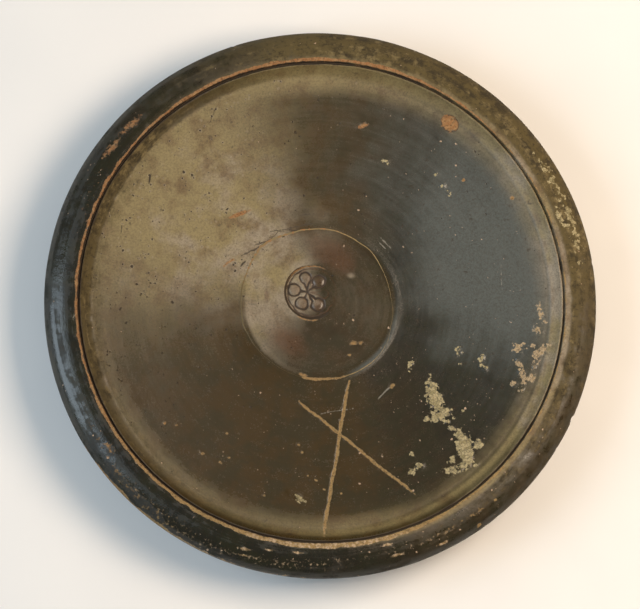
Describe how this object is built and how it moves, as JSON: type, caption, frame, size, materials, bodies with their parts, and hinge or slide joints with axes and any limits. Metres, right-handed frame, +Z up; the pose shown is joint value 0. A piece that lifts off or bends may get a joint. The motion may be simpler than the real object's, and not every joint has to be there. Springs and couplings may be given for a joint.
{
  "type": "plate",
  "caption": "Round black-gloss pottery plate on a ring foot, with a hanging lip, a stamped rosette in a shallow dish and a scratched cross.",
  "frame": {"origin": "middle of the ring foot's resting face, at the bottom centre of the plate", "axes": "+Z up out of the dish; seen from above with +Y up the page, as in the picture, +X is to the right and the scratched cross lies towards -Y"},
  "size_m": [0.22, 0.22, 0.0312],
  "materials": {
    "black_gloss": "satin black slip, worn to orange clay on the ridge, with lime and soil stains"
  },
  "bodies": {
    "root": {"plate": "black_gloss"}
  },
  "joints": []
}
